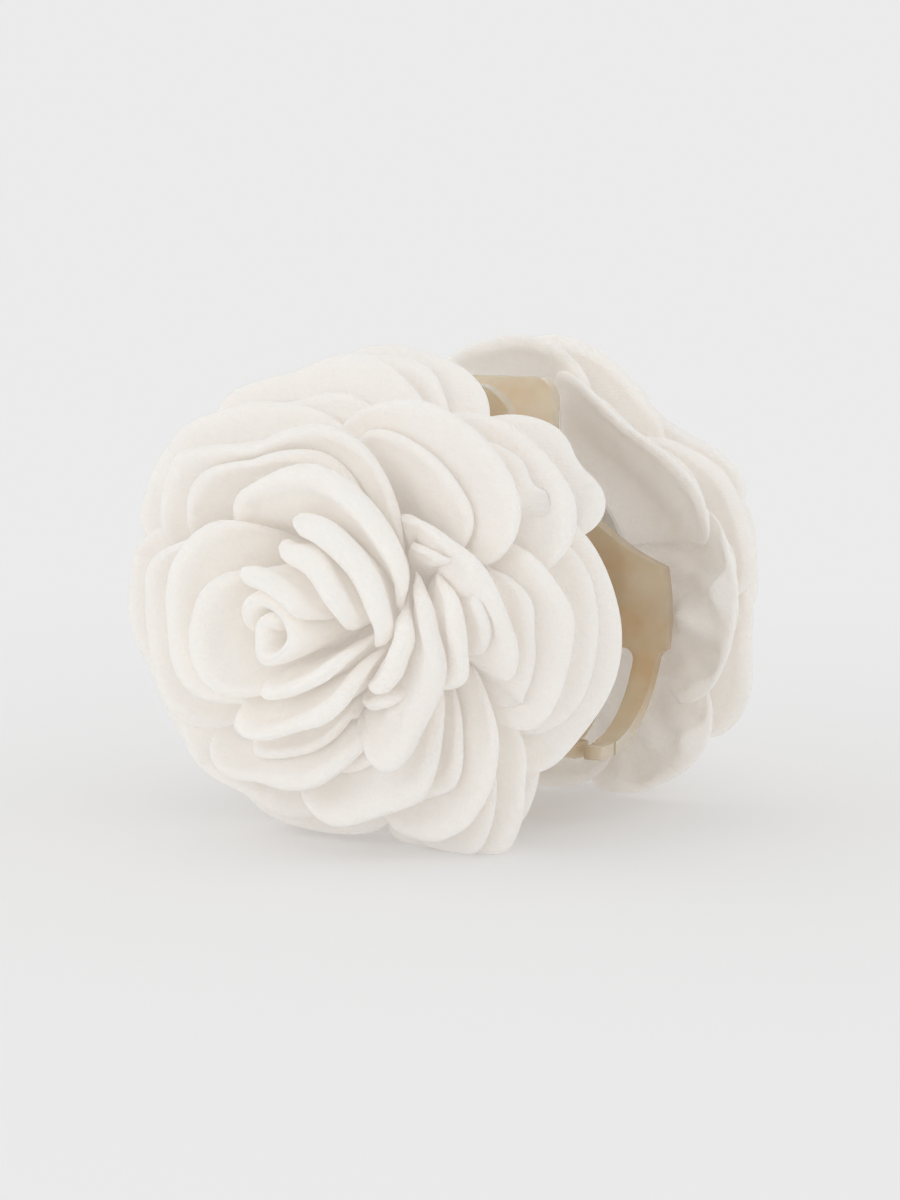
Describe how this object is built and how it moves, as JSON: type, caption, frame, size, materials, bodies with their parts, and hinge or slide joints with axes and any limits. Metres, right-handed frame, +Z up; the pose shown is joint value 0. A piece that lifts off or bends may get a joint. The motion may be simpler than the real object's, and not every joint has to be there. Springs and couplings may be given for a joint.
{
  "type": "flower claw hair clip",
  "caption": "Sprung claw hair clip in translucent amber plastic, with a large off-white fabric rose glued to the outside of each jaw.",
  "frame": {"origin": "middle of the clip in X and Y, on the surface that the lowest petals rest on", "axes": "+X along the hinge pin, +Z up towards the finger levers, -Y out of the front rose's bud"},
  "size_m": [0.0856, 0.1258, 0.0796],
  "materials": {
    "petal_cloth": "matt fine crepe",
    "bud_cloth": "matt fine crepe",
    "felt": "pressed felt",
    "claw_plastic": "glossy translucent",
    "glue": "cloudy hot-melt",
    "steel_pin": "drawn",
    "spring_wire": "bright drawn"
  },
  "bodies": {
    "front_half": {"front_jaw": "claw_plastic", "front_felt_pad": "felt", "front_glue_bead": "glue", "front_bud": "bud_cloth", "front_petal_01": "petal_cloth", "front_petal_02": "petal_cloth", "front_petal_03": "petal_cloth", "front_petal_04": "petal_cloth", "front_petal_05": "petal_cloth", "front_petal_06": "petal_cloth", "front_petal_07": "petal_cloth", "front_petal_08": "petal_cloth", "front_petal_09": "petal_cloth", "front_petal_10": "petal_cloth", "front_petal_11": "petal_cloth", "front_petal_12": "petal_cloth", "front_petal_13": "petal_cloth", "front_petal_14": "petal_cloth", "front_petal_15": "petal_cloth", "front_petal_16": "petal_cloth", "front_petal_17": "petal_cloth", "front_petal_18": "petal_cloth", "front_petal_19": "petal_cloth", "front_petal_20": "petal_cloth", "front_petal_21": "petal_cloth", "front_petal_22": "petal_cloth", "front_petal_23": "petal_cloth", "front_petal_24": "petal_cloth", "front_petal_25": "petal_cloth", "hinge_pin": "steel_pin", "torsion_spring": "spring_wire"},
    "rear_half": {"rear_jaw": "claw_plastic", "rear_felt_pad": "felt", "rear_glue_bead": "glue", "rear_bud": "bud_cloth", "rear_petal_01": "petal_cloth", "rear_petal_02": "petal_cloth", "rear_petal_03": "petal_cloth", "rear_petal_04": "petal_cloth", "rear_petal_05": "petal_cloth", "rear_petal_06": "petal_cloth", "rear_petal_07": "petal_cloth", "rear_petal_08": "petal_cloth", "rear_petal_09": "petal_cloth", "rear_petal_10": "petal_cloth", "rear_petal_11": "petal_cloth", "rear_petal_12": "petal_cloth", "rear_petal_13": "petal_cloth", "rear_petal_14": "petal_cloth", "rear_petal_15": "petal_cloth", "rear_petal_16": "petal_cloth", "rear_petal_17": "petal_cloth", "rear_petal_18": "petal_cloth", "rear_petal_19": "petal_cloth", "rear_petal_20": "petal_cloth", "rear_petal_21": "petal_cloth", "rear_petal_22": "petal_cloth", "rear_petal_23": "petal_cloth", "rear_petal_24": "petal_cloth", "rear_petal_25": "petal_cloth"}
  },
  "joints": [
    {"name": "clip_hinge", "type": "hinge", "parent": "front_half", "child": "rear_half", "pos_m": [0, 0, 0.055], "axis": [1, 0, 0], "range_deg": [0, 45], "stiffness_Nm_per_rad": 0.15, "springref_deg": -51.57, "deforming": ["torsion_spring"]}
  ]
}
